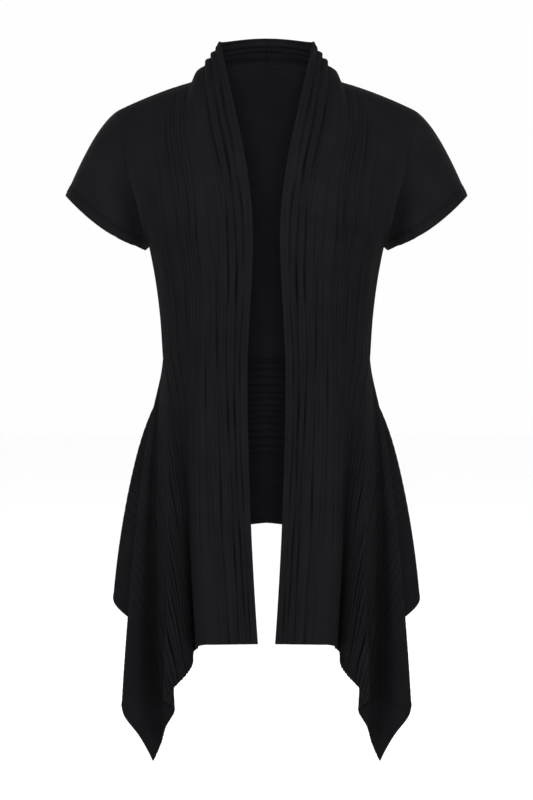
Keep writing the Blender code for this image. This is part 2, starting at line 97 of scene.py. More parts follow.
# ---- The fronts, each in one piece with its half of the collar: a variegated rib knit whose ribs run down from
# the collar to the hem, sewn at the shoulder, armhole and side. The front edge and the hem are narrowly
# rolled and overlocked, so they stay soft.
# Millimetres throughout, for the wearer's left: cloth_shell turns them into metres and mirrors them.
MIRROR = np.array((-1.0, 1.0, 1.0))
SHOULDER_POINT = (195.0, 4.0, -38.0)
SHOULDER_ROUND = 2.5
NECK_POINT = (98.0, 6.0, 0.0)
BACK_NECK = (0.0, 68.0, 24.0)
COLLAR_SIDE = (61.0, 8.0, 54.0)
COLLAR_BACK = (0.0, 60.0, 64.0)
COLLAR_WIDTH = 62.0
FRONT_WIDTH = 165.0
WAIST_HEIGHT = -362.0
WAIST_HALF_WIDTH = 135.0
WAIST_FRONT_DEPTH = 98.0
WAIST_BACK_DEPTH = 84.0
WAIST_EDGE_X = 24.0
FRONT_SKIRT_LENGTH = 366.0
BACK_SKIRT_LENGTH = 214.7
STRAIGHT_WIDTH = 60.0
FRONT_FLARE_RADIUS = 165.0
BACK_FLARE_RADIUS = 188.5
SIDE_FLARE = np.radians(36.3)
BIAS_STRETCH = 0.04
TIP_SAG = 12.0
TIP_REACH = 0.22
MIDDLE_SAG = 5.0
MIDDLE_REACH = 0.3
EARLY_FLARE = 46.0
EARLY_REACH = 70.0
# Sections from shoulder to waist. down: distance along the front edge. edge, arm: their two ends. turn: how far
# round each bends, in degrees. neck: how much of the shoulder line it keeps. dip: drop at the neck point.
FRONT_SECTIONS = {
    "down":   (0, 31, 62, 97, 134, 175, 218, 258, 298, 343, 398, 455),
    "edge_x": (61, 57, 52, 46, 39, 31, 24, 19, 17, 18, 21, 24),
    "edge_y": (8, -18, -40, -60, -78, -93, -104, -108, -108, -105, -101, -98),
    "edge_z": (54, 36, 12, -16, -48, -85, -126, -165, -205, -250, -305, -362),
    "arm_x":  (195, 194.5, 192, 189, 184, 177, 167, 159.5, 153.5, 145.5, 139, 135),
    "arm_y":  (4, -14, -32, -44, -53, -57, -54, -38, 0, 0, 0, 0),
    "arm_z":  (-38, -45, -59, -78, -106, -135, -165, -193, -214, -255, -305, -362),
    "turn":   (25, 32, 44, 54, 62, 68, 75, 82, 90, 90, 90, 90),
    "neck":   (1, 0.7, 0.35, 0.12, 0, 0, 0, 0, 0, 0, 0, 0),
    "dip":    (-28.6, -20, -12, -5, -1, 0, 0, 0, 0, 0, 0, 0),
}
FRONT_UNDERARM = 298.0
FRONT_WAIST = 455.0
COLLAR_FOLDS = {
    "across": (0, 6.5, 13, 18.5, 24, 29, 34, 47, 62, 75),
    "height": (0, 0.3, -2.0, 1.0, -1.8, 1.6, -1.2, 3.6, 0, 0),
}
FOLD_FADE = {
    "down":   (0, 62, 134, 218, 300),
    "depth":  (0.7, 1, 0.6, 0.2, 0),
}
BUST_FULLNESS = 7.0
BUST_PLACE = (0.5, 232.0)
BUST_REACH = (0.30, 62.0)
SIDE_EASE = 0.12                         # share of the width over which folds and bust fade to the side
# Fold lines of half the skirt. around: 0 at the front edge, 1 at the side seam, 2 at the centre back. upper, lower:
# where each hangs at UPPER_DROP and at LOWER_DROP below the waist.
SKIRT_FOLDS = {
    "around":  (0, 0.27, 0.345, 0.39, 0.42, 0.44, 0.52, 0.56, 0.66, 0.70, 0.75, 0.79, 0.84, 0.91, 0.97, 1.0,
                1.04, 1.08, 1.21, 1.335, 1.52, 1.70, 1.86, 2.0),
    "upper_x": (22.5, 66, 82, 90, 94.5, 97, 102, 105, 111, 115, 120, 125, 129, 137, 144, 147, 152, 158, 152, 173.5,
                122, 80, 38, 0),
    "upper_y": (-99, -104, -104, -100, -96, -91, -79, -77, -79, -80, -78, -74, -60, -41, -20, -20, -26, -26, 22,
                50, 68, 100, 90, 98),
    "lower_x": (6.5, 51, 69, 79, 84, 85.5, 89, 93, 96.5, 105, 118, 131, 121, 134, 144, 151, 164, 183, 140, 206,
                140, 90, 40, 0),
    "lower_y": (-112, -117, -119, -116, -110, -100, -38, -34, -70, -87, -95, -97, -60, -43, -21, -29, -51, -60, 4,
                54, 66, 132, 98, 112),
}
UPPER_DROP = 135.0
LOWER_DROP = 420.0
HOLLOWS = (
    # around, half width, drops where it begins, is full and ends, shade: deep folds that little light reaches
    (0.562, 0.1, 130, 320, 900, 0.95),
    (0.965, 0.062, 20, 330, 465, 0.42),
)
RIB_LINES = (
    # distance from the front edge, depth, half width, where it starts and ends along the front
    (4.2, 0.6, 0.8, -200, 900),
    (9.8, 1.4, 1.1, -200, 900),
    (13.5, 0.6, 0.8, 200, 900),
    (17.0, 1.9, 1.4, -200, 900),
    (21.5, 0.7, 0.8, 100, 900),
    (26.0, 1.7, 1.3, -200, 900),
    (30.3, 0.7, 0.8, 60, 900),
    (34.6, 0.8, 0.9, 200, 700),
    (39.0, 1.5, 1.3, 290, 900),
    (43.4, 0.7, 0.8, 60, 900),
    (47.8, 0.8, 0.9, 300, 900),
    (52.5, 1.3, 1.2, 400, 720),
    (57.5, 1.1, 1.2, -20, 430),
    (62.0, 0.9, 0.9, -40, 900),
    (66.5, 1.2, 1.1, 50, 540),
    (71.0, 0.9, 0.9, -30, 900),
    (76.0, 1.1, 1.0, 0, 900),
    (81.5, 1.4, 1.3, 40, 820),
    (86.0, 0.9, 0.9, 10, 900),
    (90.2, 0.9, 0.9, 90, 900),
    (94.5, 1.2, 1.2, 230, 900),
)
RIB_SQUEEZE = 0.27
RIB_SQUEEZE_WIDTH = 40.0
RIB_SQUEEZE_END = 300.0
CREASES = (
    # across, along, turn in degrees, half length, half width, height: soft ridges and, below zero, troughs
    (108, 215, -14, 45, 7, 1.8),
    (120, 232, -20, 38, 8, -1.6),
    (92, 250, -6, 50, 9, 1.2),
    (78, 330, 2, 60, 8, -1.4),
    (112, 345, 6, 55, 9, 1.5),
    (136, 360, 10, 50, 8, -1.6),
    (60, 180, 3, 55, 8, -1.0),
    (47, 560, -2, 90, 9, -1.4),
    (30, 660, 1, 80, 10, 1.3),
    (72, 700, -3, 80, 9, 1.8),
    (62, 600, -3, 110, 7, -1.8),
    (98, 600, -9, 90, 9, -1.5),
    (150, 640, -24, 60, 10, 1.6),
    (210, 700, -30, 60, 11, -1.8),
    (190, 760, -24, 50, 11, 1.6),
    (270, 780, -34, 60, 12, 1.8),
)
ARMHOLE_FOLD = 4.0
ARMHOLE_FOLD_PLACE = 10.0
ARMHOLE_FOLD_WIDTH = 5.0
SIDE_RIB_FIRST = 99.0
SIDE_RIB_PITCH = (8.4, 7.0, 9.4)
SIDE_RIB_DEPTH = (2.0, 1.5, 2.4)
SIDE_RIB_WIDTH = 1.7
RIB_WANDER = 1.1
RIB_FADE = 80.0
HOLLOW_FADE = 45.0
FULL_SHADE_DEPTH = 2.1                   # furrow depth at which its shade is full
WALE = 0.95 * MM                         # one column of stitches, across
COURSE = 0.75 * MM                       # one row of stitches
FINE_RIB = 4.3 * MM
STITCH_BUMP = 0.12 * MM
LOFT_BUMP = 0.12 * MM
LOFT_SCALE = 900.0
CLOUD_BUMP = 1.5 * MM
CLOUD_SCALE = 34.0
KNIT_THICKNESS = 1.6
FURROW_THINNING = 0.4
ROLLED_EDGE = 0.7
ROLLED_WIDTH = 1.6
ROLLED_EDGE_END = 1.0 / 2.2              # share of the thickness left at the very edge
ROLLED_CLOSE = 0.9
SEAM_SINK = 0.12
SEAM_WIDTH = 2.5
WAIST_EASE = 6.0
COLLAR_SEAM_LENGTH = 130.0
BODICE_ROWS = 72
SKIRT_ROWS = 54
COLLAR_ROWS = 34
SHOULDER_BLEND_ROWS = 10
FINE_COLUMN = 1.2


def through(knots, values, at):
    """Smooth curve through the values at the knots, made of cubics whose slope at each knot is the mean of the
    slopes on both sides, weighted by the nearer side."""
    knots = np.asarray(knots, float)
    values = np.asarray(values, float)
    at = np.asarray(at, float)
    steps = np.diff(knots)
    slopes = np.diff(values) / steps
    inner = (slopes[:-1] * steps[1:] + slopes[1:] * steps[:-1]) / (steps[1:] + steps[:-1])
    tangents = np.concatenate(([slopes[0]], inner, [slopes[-1]]))
    piece = np.clip(np.searchsorted(knots, at, side="right") - 1, 0, len(steps) - 1)
    t = (at - knots[piece]) / steps[piece]
    start = (1 + 2 * t) * (1 - t) ** 2 * values[piece] + t * (1 - t) ** 2 * steps[piece] * tangents[piece]
    end = t * t * (3 - 2 * t) * values[piece + 1] + t * t * (t - 1) * steps[piece] * tangents[piece + 1]
    return start + end


def ramp(value, start, end):
    """0 before the start, 1 past the end and straight between; it falls where the end is below the start."""
    return np.clip((value - start) / (end - start), 0, 1)


def normals_of(grid):
    """Outward unit normals of a grid: the cross product of its downward and its round-going steps."""
    normal = np.cross(np.gradient(grid, axis=0), np.gradient(grid, axis=1))
    return normal / np.linalg.norm(normal, axis=2, keepdims=True)


def bodice_front(across, down):
    """Front from shoulder to waist. Each section runs from the front edge to the armhole or side as a part of
    an oval arc, which straightens near the shoulder into two lines that meet at the neck point."""
    s = {name: through(FRONT_SECTIONS["down"], FRONT_SECTIONS[name], down)[:, None]
         for name in FRONT_SECTIONS if name != "down"}
    p = np.asarray(across, float)[None, :] / FRONT_WIDTH
    neck_p = COLLAR_WIDTH / FRONT_WIDTH
    turn = np.radians(s["turn"])
    bend = p * turn
    neck_share = (NECK_POINT[0] - COLLAR_SIDE[0]) / (SHOULDER_POINT[0] - COLLAR_SIDE[0])
    inside = p < neck_p
    beyond = (p - neck_p) / (1 - neck_p)
    shoulder_x = np.where(inside, neck_share * p / neck_p, neck_share + (1 - neck_share) * beyond)
    shoulder_y = np.where(inside, 0.5 * p / neck_p, 0.5 + 0.5 * beyond)
    out = s["neck"] * shoulder_x + (1 - s["neck"]) * np.sin(bend) / np.sin(turn)
    round_y = 1 - (np.cos(bend) - np.cos(turn)) / (1 - np.cos(turn))
    back = s["neck"] * shoulder_y + (1 - s["neck"]) * round_y
    tent = np.where(inside, p / neck_p, 1 - beyond)
    x = s["edge_x"] + (s["arm_x"] - s["edge_x"]) * out
    y = s["edge_y"] + (s["arm_y"] - s["edge_y"]) * back
    z = s["edge_z"] + (s["arm_z"] - s["edge_z"]) * out + s["dip"] * tent
    z = z + s["neck"] * SHOULDER_ROUND * (1 - (2 * np.clip(beyond, 0, 1) - 1) ** 2)
    grid = np.stack((x, y, z), axis=2)
    fold = through(COLLAR_FOLDS["across"], COLLAR_FOLDS["height"], np.minimum(across, COLLAR_FOLDS["across"][-1]))
    fade = through(FOLD_FADE["down"], FOLD_FADE["depth"], np.minimum(down, FOLD_FADE["down"][-1]))
    from_bust = ((p - BUST_PLACE[0]) / BUST_REACH[0]) ** 2
    from_bust = from_bust + ((np.asarray(down, float)[:, None] - BUST_PLACE[1]) / BUST_REACH[1]) ** 2
    raised = fade[:, None] * fold[None, :] + BUST_FULLNESS * np.exp(-from_bust)
    at_side = np.clip((1 - p) / SIDE_EASE, 0, 1)
    return grid + normals_of(grid) * (raised * at_side)[:, :, None]


def waist_line(around):
    """Waist of half the garment: an oval quarter from the front edge (0) to the side (1), and another from
    there to the centre back (2)."""
    around = np.asarray(around, float)
    front_angle = np.pi / 2 * np.minimum(around, 1)
    back_angle = np.pi / 2 * np.maximum(around - 1, 0)
    front_x = WAIST_EDGE_X + (WAIST_HALF_WIDTH - WAIST_EDGE_X) * np.sin(front_angle)
    in_front = around <= 1
    x = np.where(in_front, front_x, WAIST_HALF_WIDTH * np.cos(back_angle))
    y = np.where(in_front, -WAIST_FRONT_DEPTH * np.cos(front_angle), WAIST_BACK_DEPTH * np.sin(back_angle))
    return x, y


def flare_turn(around):
    """Turn of the flat cut's fall line, from the front edge to each place round the waist."""
    around = np.asarray(around, float)
    front = np.clip((around * FRONT_WIDTH - STRAIGHT_WIDTH) / (FRONT_WIDTH - STRAIGHT_WIDTH), 0, 1) * SIDE_FLARE
    return front + (np.pi / 2 - SIDE_FLARE) * np.maximum(around - 1, 0)


def hem_drop(around):
    """Length from waist to hem where both hems of the flat cut are straight, with a little growth on the bias and
    the sag of the tip at the side."""
    around = np.asarray(around, float)
    turn = flare_turn(around)
    front_drop = (FRONT_SKIRT_LENGTH + FRONT_FLARE_RADIUS) / np.cos(np.minimum(turn, SIDE_FLARE))
    back_drop = (BACK_SKIRT_LENGTH + BACK_FLARE_RADIUS) / np.sin(np.maximum(turn, SIDE_FLARE))
    cut = np.where(around <= 1, front_drop - FRONT_FLARE_RADIUS, back_drop - BACK_FLARE_RADIUS)
    sag = TIP_SAG * np.exp(-((around - 1) / TIP_REACH) ** 2)
    sag = sag + MIDDLE_SAG * np.exp(-((around - 2) / MIDDLE_REACH) ** 2)
    return cut * (1 + BIAS_STRETCH * np.sin(2 * turn)) + sag, cut


def skirt_at(around, drop):
    """Place on the skirt. Each fold line leaves the waist oval and passes through its upper and its lower place,
    as a parabola of the drop, quicker just below the waist; between the fold lines the cloth is a smooth curve."""
    opened, upper, lower = (level + EARLY_FLARE * (1 - np.exp(-(level / EARLY_REACH) ** 2))
                            for level in (drop, UPPER_DROP, LOWER_DROP))
    shape = []
    for waist, axis in zip(waist_line(around), "xy"):
        near = (through(SKIRT_FOLDS["around"], SKIRT_FOLDS["upper_" + axis], around) - waist) / upper
        far = (through(SKIRT_FOLDS["around"], SKIRT_FOLDS["lower_" + axis], around) - waist) / lower
        curve = (far - near) / (lower - upper)
        shape.append(waist + (near - curve * upper) * opened + curve * opened ** 2)
    return np.stack((shape[0], shape[1], WAIST_HEIGHT - drop + 0 * shape[0]), axis=-1)


def skirt_normals_at(around, drop):
    """Outward unit normals of the skirt: the cross product of small steps down and round it at each place."""
    down_step = skirt_at(around, drop + 0.5) - skirt_at(around, drop - 0.5)
    round_step = skirt_at(around + 0.002, drop) - skirt_at(around - 0.002, drop)
    normal = np.cross(down_step, round_step)
    return normal / np.linalg.norm(normal, axis=-1, keepdims=True)


def eased(normals, target, share):
    """Normals turned part of the way to the target ones."""
    mixed = normals + (target - normals) * share[..., None]
    return mixed / np.linalg.norm(mixed, axis=-1, keepdims=True)


def half_collar(across, around_neck):
    """Half collar: straight lines from its free edge to the neck seam, both oval in plan, raised into folds."""
    angle = np.pi / 2 * np.asarray(around_neck, float)[:, None]
    t = np.asarray(across, float)[None, :, None] / COLLAR_WIDTH

    def oval(side, middle):
        """Quarter oval in plan from the side place to the middle one, whose rise goes as a squared cosine."""
        rise = middle[2] - side[2]
        return np.stack((side[0] * np.sin(angle), side[1] + (middle[1] - side[1]) * np.cos(angle),
                         side[2] + rise * np.cos(angle) ** 2), axis=2)

    free = oval(COLLAR_SIDE, COLLAR_BACK)
    grid = free + (oval(NECK_POINT, BACK_NECK) - free) * t
    fold = through(COLLAR_FOLDS["across"], COLLAR_FOLDS["height"], across)
    fold = fold * (1 + (FOLD_FADE["depth"][0] - 1) * np.asarray(around_neck, float)[:, None] ** 2)
    folded = grid + normals_of(grid) * fold[:, :, None]
    folded[0, :, 0] = 0.0
    return folded


def furrows(across, along):
    """Depth of the rib furrows, 0 to about 2 mm: a narrow bell across each rib line, which wanders by two slow
    sines, deepens and shallows by two others, and grows and fades at its ends; past the listed lines the side ribs
    follow in a repeat of three. The ribs are spread wider at the collar than below."""
    depth = np.zeros(np.broadcast(across, along).shape)
    squeezed = RIB_SQUEEZE * np.clip(1 - along / RIB_SQUEEZE_END, 0, 1)
    across = across - squeezed * np.minimum(across, RIB_SQUEEZE_WIDTH)
    for line, deep, width, start, end in RIB_LINES:
        grown = np.clip((along - start) / RIB_FADE, 0, 1) * np.clip((end - along) / RIB_FADE, 0, 1)
        grown = grown * (0.66 + 0.22 * np.sin(along / (24 + line / 4) + 2.3 * line)
                         + 0.16 * np.sin(along / (11 + line / 9) + 5.1 * line))
        moved = line + RIB_WANDER * (0.7 * np.sin(along / (52 + line / 3) + 1.7 * line)
                                     + 0.3 * np.sin(along / (17 + line / 7) + 4.1 * line))
        depth = np.maximum(depth, deep * np.exp(-((across - moved) / width) ** 2) * grown)
    line = SIDE_RIB_FIRST
    while line < across.max():
        for pitch, deep in zip(SIDE_RIB_PITCH, SIDE_RIB_DEPTH):
            uneven = 0.7 + 0.3 * np.sin(along / 31 + 2.3 * line)
            depth = np.maximum(depth, deep * uneven * np.exp(-((across - line) / SIDE_RIB_WIDTH) ** 2))
            line = line + pitch
    return depth


def creases(across, along, table):
    """Height of the soft creases: each is a bell across its own line times a bell along it."""
    height = np.zeros(np.broadcast(across, along).shape)
    for middle_across, middle_along, degrees, half_length, half_width, high in table:
        lean = np.radians(degrees)
        aside = (across - middle_across) * np.cos(lean) - (along - middle_along) * np.sin(lean)
        forward = (across - middle_across) * np.sin(lean) + (along - middle_along) * np.cos(lean)
        height = height + high * np.exp(-(aside / half_width) ** 2 - (forward / half_length) ** 2)
    return height


def hollow_shade(around, drop):
    """Shade of the deep folds, 0 to 1: for each a flat-topped bell across it, which comes in gradually on the
    way down and goes just before its end."""
    shade = np.zeros(np.broadcast(around, drop).shape)
    for middle, half_width, begin, full, end, deep in HOLLOWS:
        comes_in = ramp(drop, begin, full) * np.clip((end - drop) / HOLLOW_FADE, 0, 1)
        shade = np.maximum(shade, deep * comes_in * np.exp(-((around - middle) / half_width) ** 4))
    return shade


def rolled(thickness, from_edge):
    """Thickness at a rolled edge: a bell of extra cloth just inside it, and a quick close at the edge itself."""
    thickness = thickness + ROLLED_EDGE * np.exp(-((from_edge - ROLLED_WIDTH) / ROLLED_WIDTH) ** 2)
    return thickness * np.clip(ROLLED_EDGE_END + from_edge / ROLLED_CLOSE, 0, 1)


def in_middle_plane(normals):
    """The normals without their sideways part, at unit length, so that both halves meet there."""
    level = normals * np.array((0.0, 1.0, 1.0))
    return level / np.linalg.norm(level, axis=-1, keepdims=True)


def near_lines(strong, weak, first, last, close, far):
    """Grid distances from first to last: one on each line, more close beside the strong ones, and others at most
    far apart between."""
    marks = np.unique(np.concatenate([[first, last], weak] + [line + np.array(close) for line in strong]))
    marks = marks[(marks >= first) & (marks <= last)]
    keep = np.concatenate(([True], np.diff(marks) > 0.3))
    marks = marks[keep]
    marks[-1] = last
    pieces = [np.linspace(a, b, int(np.ceil((b - a) / far)) + 1)[:-1] for a, b in zip(marks[:-1], marks[1:])]
    return np.concatenate(pieces + [[last]])


def cloth_shell(name, points, normals, thickness, furrow, inner_painted_shade, blocks, uv, hand):
    """Closed thin shell: the points moved out and in along their normals, with a rim round every open edge.

    blocks are grids of point numbers; uv is each point's place on the flat cut, in metres; hand -1 mirrors it."""
    quads = np.concatenate([np.stack((b[:-1, :-1], b[1:, :-1], b[1:, 1:], b[:-1, 1:]), axis=2).reshape(-1, 4)
                            for b in blocks])
    if hand < 0:
        points = points * MIRROR
        normals = normals * MIRROR
        quads = quads[:, ::-1]
    count = len(points)
    half = normals * (thickness / 2)[:, None]
    edges = np.concatenate([quads[:, (k, (k + 1) % 4)] for k in range(4)])
    code = edges[:, 0] * count + edges[:, 1]
    back_code = edges[:, 1] * count + edges[:, 0]
    rim = edges[~np.isin(code, back_code)]
    rim_quads = np.stack((rim[:, 1], rim[:, 0], rim[:, 0] + count, rim[:, 1] + count), axis=1)
    faces = np.concatenate((quads, quads[:, ::-1] + count, rim_quads))
    places = np.concatenate((points + half, points - half)) * MM
    mesh = bpy.data.meshes.new(name)
    mesh.vertices.add(len(places))
    mesh.vertices.foreach_set("co", places.astype(np.float32).ravel())
    mesh.loops.add(faces.size)
    mesh.loops.foreach_set("vertex_index", faces.astype(np.int32).ravel())
    mesh.polygons.add(len(faces))
    mesh.polygons.foreach_set("loop_start", np.arange(0, faces.size, 4, dtype=np.int32))
    mesh.polygons.foreach_set("use_smooth", np.ones(len(faces), dtype=bool))
    layer = mesh.uv_layers.new(name="flat_cut")
    layer.data.foreach_set("uv", np.concatenate((uv, uv))[faces.ravel()].astype(np.float32).ravel())
    # Painted shade, 0 to 1, for the outer and inner faces: it darkens the colour where rib furrows, deep folds and
    # the armpit would lie in shadow.
    painted_shade_attribute = mesh.attributes.new("furrow", "FLOAT", "POINT")
    painted_shade_attribute.data.foreach_set("value", np.concatenate((furrow, inner_painted_shade)).astype(np.float32))
    mesh.update(calc_edges=True)
    mesh.validate()
    piece = bpy.data.objects.new(name, mesh)
    bpy.context.scene.collection.objects.link(piece)
    return piece


def knit_material(name, colour, sheen, rib_bump):
    """Knitted cloth: matt black yarn with a soft bloom of fibre ends. Stitches lie in columns along the second
    flat-cut coordinate; fine ribs and the loft of the yarn come from bumps on the same coordinates."""
    material = bpy.data.materials.new(name)
    material.use_nodes = True
    tree = material.node_tree
    nodes, links = tree.nodes, tree.links
    shader = nodes["Principled BSDF"]
    shader.inputs["Roughness"].default_value = 0.88
    shader.inputs["IOR"].default_value = 1.06
    shader.inputs["Sheen Weight"].default_value = sheen
    shader.inputs["Sheen Roughness"].default_value = 0.35
    place = nodes.new("ShaderNodeUVMap")
    place.uv_map = "flat_cut"
    split = nodes.new("ShaderNodeSeparateXYZ")
    links.new(place.outputs["UV"], split.inputs["Vector"])

    def math(operation, first, second=None, third=None):
        """Output of a new math node whose inputs are numbers or other outputs."""
        node = nodes.new("ShaderNodeMath")
        node.operation = operation
        for socket, value in zip(node.inputs, (first, second, third)):
            if value is None:
                continue
            if isinstance(value, (int, float)):
                socket.default_value = value
            else:
                links.new(value, socket)
        return node.outputs["Value"]

    column = math("MULTIPLY", split.outputs["X"], 1 / WALE)
    lean = math("PINGPONG", column, 0.5)
    loops = math("SINE", math("MULTIPLY", math("ADD", math("MULTIPLY", split.outputs["Y"], 1 / COURSE),
                                                math("MULTIPLY", lean, 0.9)), 2 * np.pi))
    columns = math("ABSOLUTE", math("SINE", math("MULTIPLY", column, np.pi)))
    stitches = math("MULTIPLY", columns, math("MULTIPLY_ADD", loops, 0.25, 0.75))
    ribs = math("COSINE", math("MULTIPLY", split.outputs["X"], 2 * np.pi / FINE_RIB))

    object_place = nodes.new("ShaderNodeTexCoord")
    loft = nodes.new("ShaderNodeTexNoise")
    loft.inputs["Scale"].default_value = LOFT_SCALE
    loft.inputs["Detail"].default_value = 3.0
    links.new(object_place.outputs["Object"], loft.inputs["Vector"])
    cloud = nodes.new("ShaderNodeTexNoise")
    cloud.inputs["Scale"].default_value = CLOUD_SCALE
    cloud.inputs["Detail"].default_value = 4.0
    links.new(object_place.outputs["Object"], cloud.inputs["Vector"])

    tone = nodes.new("ShaderNodeMix")
    tone.data_type = "RGBA"
    tone.inputs["A"].default_value = tuple(c * 0.6 for c in colour) + (1.0,)
    tone.inputs["B"].default_value = tuple(c * 1.4 for c in colour) + (1.0,)
    links.new(math("ADD", math("MULTIPLY", cloud.outputs["Fac"], 0.6), math("MULTIPLY", loft.outputs["Fac"], 0.4)),
              tone.inputs["Factor"])
    # Painted shade: the furrow attribute darkens the colour down to 0.12 of itself where rib furrows, deep folds and
    # the hollow under the arm would be in shadow.
    painted_shade_attribute = nodes.new("ShaderNodeAttribute")
    painted_shade_attribute.attribute_name = "furrow"
    shade = nodes.new("ShaderNodeMix")
    shade.data_type = "RGBA"
    shade.blend_type = "MULTIPLY"
    shade.inputs["B"].default_value = (0.12, 0.12, 0.12, 1.0)
    links.new(painted_shade_attribute.outputs["Fac"], shade.inputs["Factor"])
    links.new(tone.outputs["Result"], shade.inputs["A"])
    links.new(shade.outputs["Result"], shader.inputs["Base Color"])

    height = math("MULTIPLY_ADD", stitches, STITCH_BUMP, math("MULTIPLY", loft.outputs["Fac"], LOFT_BUMP))
    height = math("MULTIPLY_ADD", ribs, rib_bump * MM, height)
    height = math("MULTIPLY_ADD", cloud.outputs["Fac"], CLOUD_BUMP, height)
    bump = nodes.new("ShaderNodeBump")
    bump.inputs["Distance"].default_value = 1.0
    bump.inputs["Strength"].default_value = 1.0
    links.new(height, bump.inputs["Height"])
    links.new(bump.outputs["Normal"], shader.inputs["Normal"])
    return material


rib_knit = knit_material("black_rib_knit", (0.0026, 0.0026, 0.0031), sheen=0.005, rib_bump=0.06)

CLOSE_COLUMNS = (-2.4, -1.5, -0.75, 0.0, 0.75, 1.5, 2.4)
hem_line = FRONT_SKIRT_LENGTH + FRONT_FLARE_RADIUS
side_at_waist = STRAIGHT_WIDTH + FRONT_FLARE_RADIUS * np.sin(SIDE_FLARE)
tip_across = STRAIGHT_WIDTH + hem_line * np.tan(SIDE_FLARE)
side_ribs = SIDE_RIB_FIRST + np.cumsum(np.tile(SIDE_RIB_PITCH, 30)) - SIDE_RIB_PITCH[0]
strong = [line[0] for line in RIB_LINES if line[1] > 1]
weak = [line[0] for line in RIB_LINES if line[1] < 1] + list(side_ribs)
inner_columns = near_lines(strong, weak, 0.0, COLLAR_WIDTH, CLOSE_COLUMNS, FINE_COLUMN)
middle_columns = near_lines(strong, weak, COLLAR_WIDTH, side_at_waist, CLOSE_COLUMNS, FINE_COLUMN)
outer_columns = np.arange(side_at_waist + 1.0, tip_across - 1.0, 1.07)
columns = np.concatenate((inner_columns, middle_columns[1:], outer_columns, [tip_across - 0.8]))
upper_count = len(inner_columns) + len(middle_columns) - 1
collar_count = len(inner_columns)

# The skirt's columns are the ribs of the flat cut: they start on the waist line or the side seam, end at the hem.
from_flare = np.clip(columns - STRAIGHT_WIDTH, 0, None)
top_along = np.where(columns <= side_at_waist, np.sqrt(np.clip(FRONT_FLARE_RADIUS ** 2 - from_flare ** 2, 0, None)),
                     from_flare / np.tan(SIDE_FLARE))
length = hem_line - top_along
hem_steps = np.array((6.0, 4.0, 2.6, 1.6, 0.9, 0.4, 0.0))[:, None] * np.clip(length / 15, 0, 1)[None, :]
row_share = np.linspace(0, 1, SKIRT_ROWS)[:, None]
body = top_along + row_share[:-1] * (length - 8.0 * np.clip(length / 15, 0, 1))
along = np.concatenate((body, hem_line - hem_steps))
across = np.tile(columns, (len(along), 1))
turn = np.where(across > STRAIGHT_WIDTH, np.arctan2(across - STRAIGHT_WIDTH, along), 0.0)
turn = np.minimum(turn, SIDE_FLARE)
around = np.minimum(across, STRAIGHT_WIDTH) + (FRONT_WIDTH - STRAIGHT_WIDTH) * turn / SIDE_FLARE
around = around / FRONT_WIDTH
cut_drop = np.where(across > STRAIGHT_WIDTH, np.hypot(across - STRAIGHT_WIDTH, along), along) - FRONT_FLARE_RADIUS
hung, cut = hem_drop(around)
skirt_drop = np.clip(cut_drop, 0, None) * hung / cut
front_skirt = skirt_at(around, skirt_drop)

waist_across = around[0, :upper_count] * FRONT_WIDTH
down = np.linspace(0, FRONT_WAIST, BODICE_ROWS)
bodice = bodice_front(waist_across, down)
front_upper = np.concatenate((bodice[:-1], front_skirt[:, :upper_count]))
around_neck = np.linspace(0, 1, COLLAR_ROWS)
collar = half_collar(waist_across[:collar_count], around_neck)[:-1]

upper_normals = normals_of(front_upper)
bodice_rows = len(bodice) - 1
bodice_normals = upper_normals[:bodice_rows]
skirt_normals = skirt_normals_at(around, skirt_drop)
waist_normals = upper_normals[bodice_rows]
near_waist = np.stack([np.interp(around, waist_across / FRONT_WIDTH, waist_normals[:, axis]) for axis in range(3)],
                      axis=2)
skirt_normals = eased(skirt_normals, near_waist, np.exp(-skirt_drop / WAIST_EASE))
strip_normals = normals_of(np.concatenate((collar, bodice[:20, :collar_count])))
collar_rows = len(collar)
fading = np.clip(1 - np.arange(SHOULDER_BLEND_ROWS) / (SHOULDER_BLEND_ROWS - 1), 0, 1)[:, None, None]
sideways = np.clip((collar_count - 1 - np.arange(collar_count)) / 8.0, 0, 1)[None, :, None]
joint = bodice_normals[:SHOULDER_BLEND_ROWS, :collar_count]
joint = joint + (strip_normals[collar_rows:collar_rows + SHOULDER_BLEND_ROWS] - joint) * fading * sideways
bodice_normals[:SHOULDER_BLEND_ROWS, :collar_count] = joint / np.linalg.norm(joint, axis=2, keepdims=True)
collar_normals = strip_normals[:collar_rows]
collar_normals[0] = in_middle_plane(collar_normals[0])

# Flat places: across the ribs, and along them from the collar's seam at the shoulder.
bodice_across = np.tile(columns[:upper_count], (bodice_rows, 1))
bodice_along = np.tile(down[:-1, None], (1, upper_count))
skirt_along = along - FRONT_FLARE_RADIUS + FRONT_WAIST
collar_across = np.tile(columns[:collar_count], (collar_rows, 1))
collar_along = np.tile((around_neck[:-1, None] - 1) * COLLAR_SEAM_LENGTH, (1, collar_count))

# The cloth is stretched over the outer chest, where its ribs nearly vanish, and round the side of the waist.
chest = ramp(bodice_across, 94, 112) * ramp(bodice_along, 330, 220)
stretched = ramp(bodice_across, 80, 110) * (0.55 + 0.2 * np.clip((FRONT_WAIST - bodice_along) / 120, 0, 1))
bodice_furrow = furrows(bodice_across, bodice_along) * (1 - 0.9 * chest) * (1 - stretched)
bodice_furrow = bodice_furrow * np.clip((waist_across[-1] - waist_across)[None, :] / 4.0, 0, 1)
collar_lines = furrows(collar_across, collar_along)
collar_furrow = collar_lines * 0.5

